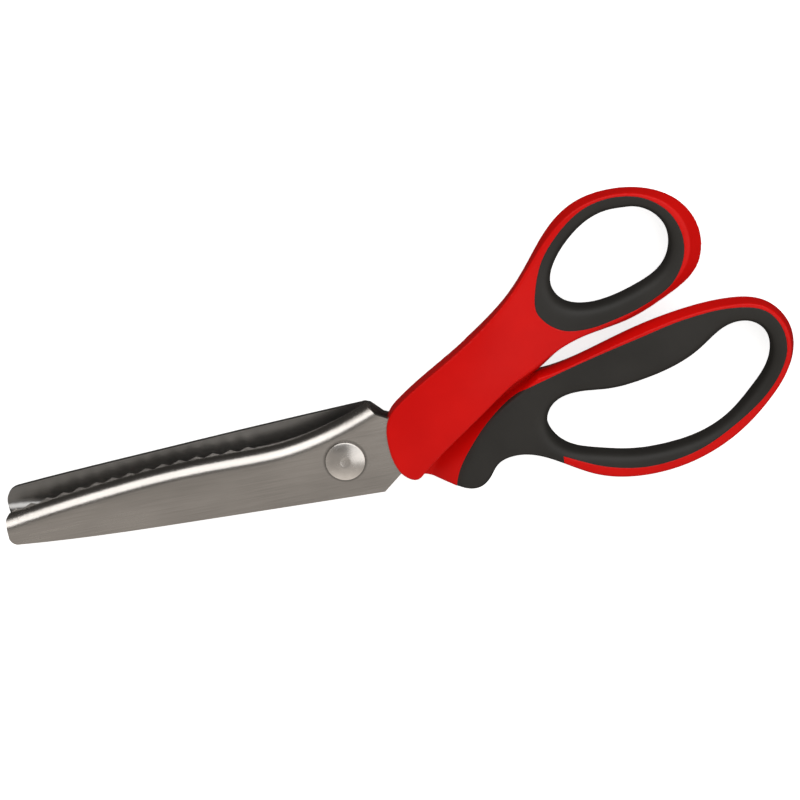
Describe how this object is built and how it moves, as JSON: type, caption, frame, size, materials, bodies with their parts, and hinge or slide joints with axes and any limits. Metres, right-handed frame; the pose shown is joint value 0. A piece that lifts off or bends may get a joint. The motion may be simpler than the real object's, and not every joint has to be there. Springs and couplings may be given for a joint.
{
  "type": "pinking shears",
  "caption": "Zigzag-edged fabric shears with stamped steel blades and two-tone offset handles with finger loops, on a screw pivot.",
  "frame": {"origin": "on the pivot's axis, at the back face of the pivot nut, which is also the face the shears lie on", "axes": "+X from the pivot towards the handles, along the closed blades; +Z along the pivot axis, towards the domed screw head; +Y towards the thumb loop"},
  "size_m": [0.2344, 0.0867, 0.0157],
  "materials": {
    "blade_steel": "brushed along the blade",
    "pivot_steel": "satin turned",
    "washer_steel": "plain spring steel",
    "bush_plastic": "black acetal",
    "red_plastic": "satin gloss moulding",
    "grip_rubber": "soft matt overmoulding"
  },
  "bodies": {
    "finger_side": {"rear_blade": "blade_steel", "finger_handle": "red_plastic", "finger_grip": "grip_rubber", "pivot_nut": "pivot_steel", "pivot_screw": "pivot_steel", "spring_washer": "washer_steel", "pivot_bush": "bush_plastic", "front_thrust_washer": "bush_plastic", "rear_thrust_washer": "bush_plastic"},
    "thumb_side": {"front_blade": "blade_steel", "thumb_handle": "red_plastic", "thumb_grip": "grip_rubber"}
  },
  "joints": [
    {"name": "pivot", "type": "hinge", "parent": "finger_side", "child": "thumb_side", "pos_m": [0, 0, 0.0078], "axis": [0, 0, 1], "range_deg": [0, 35]}
  ]
}
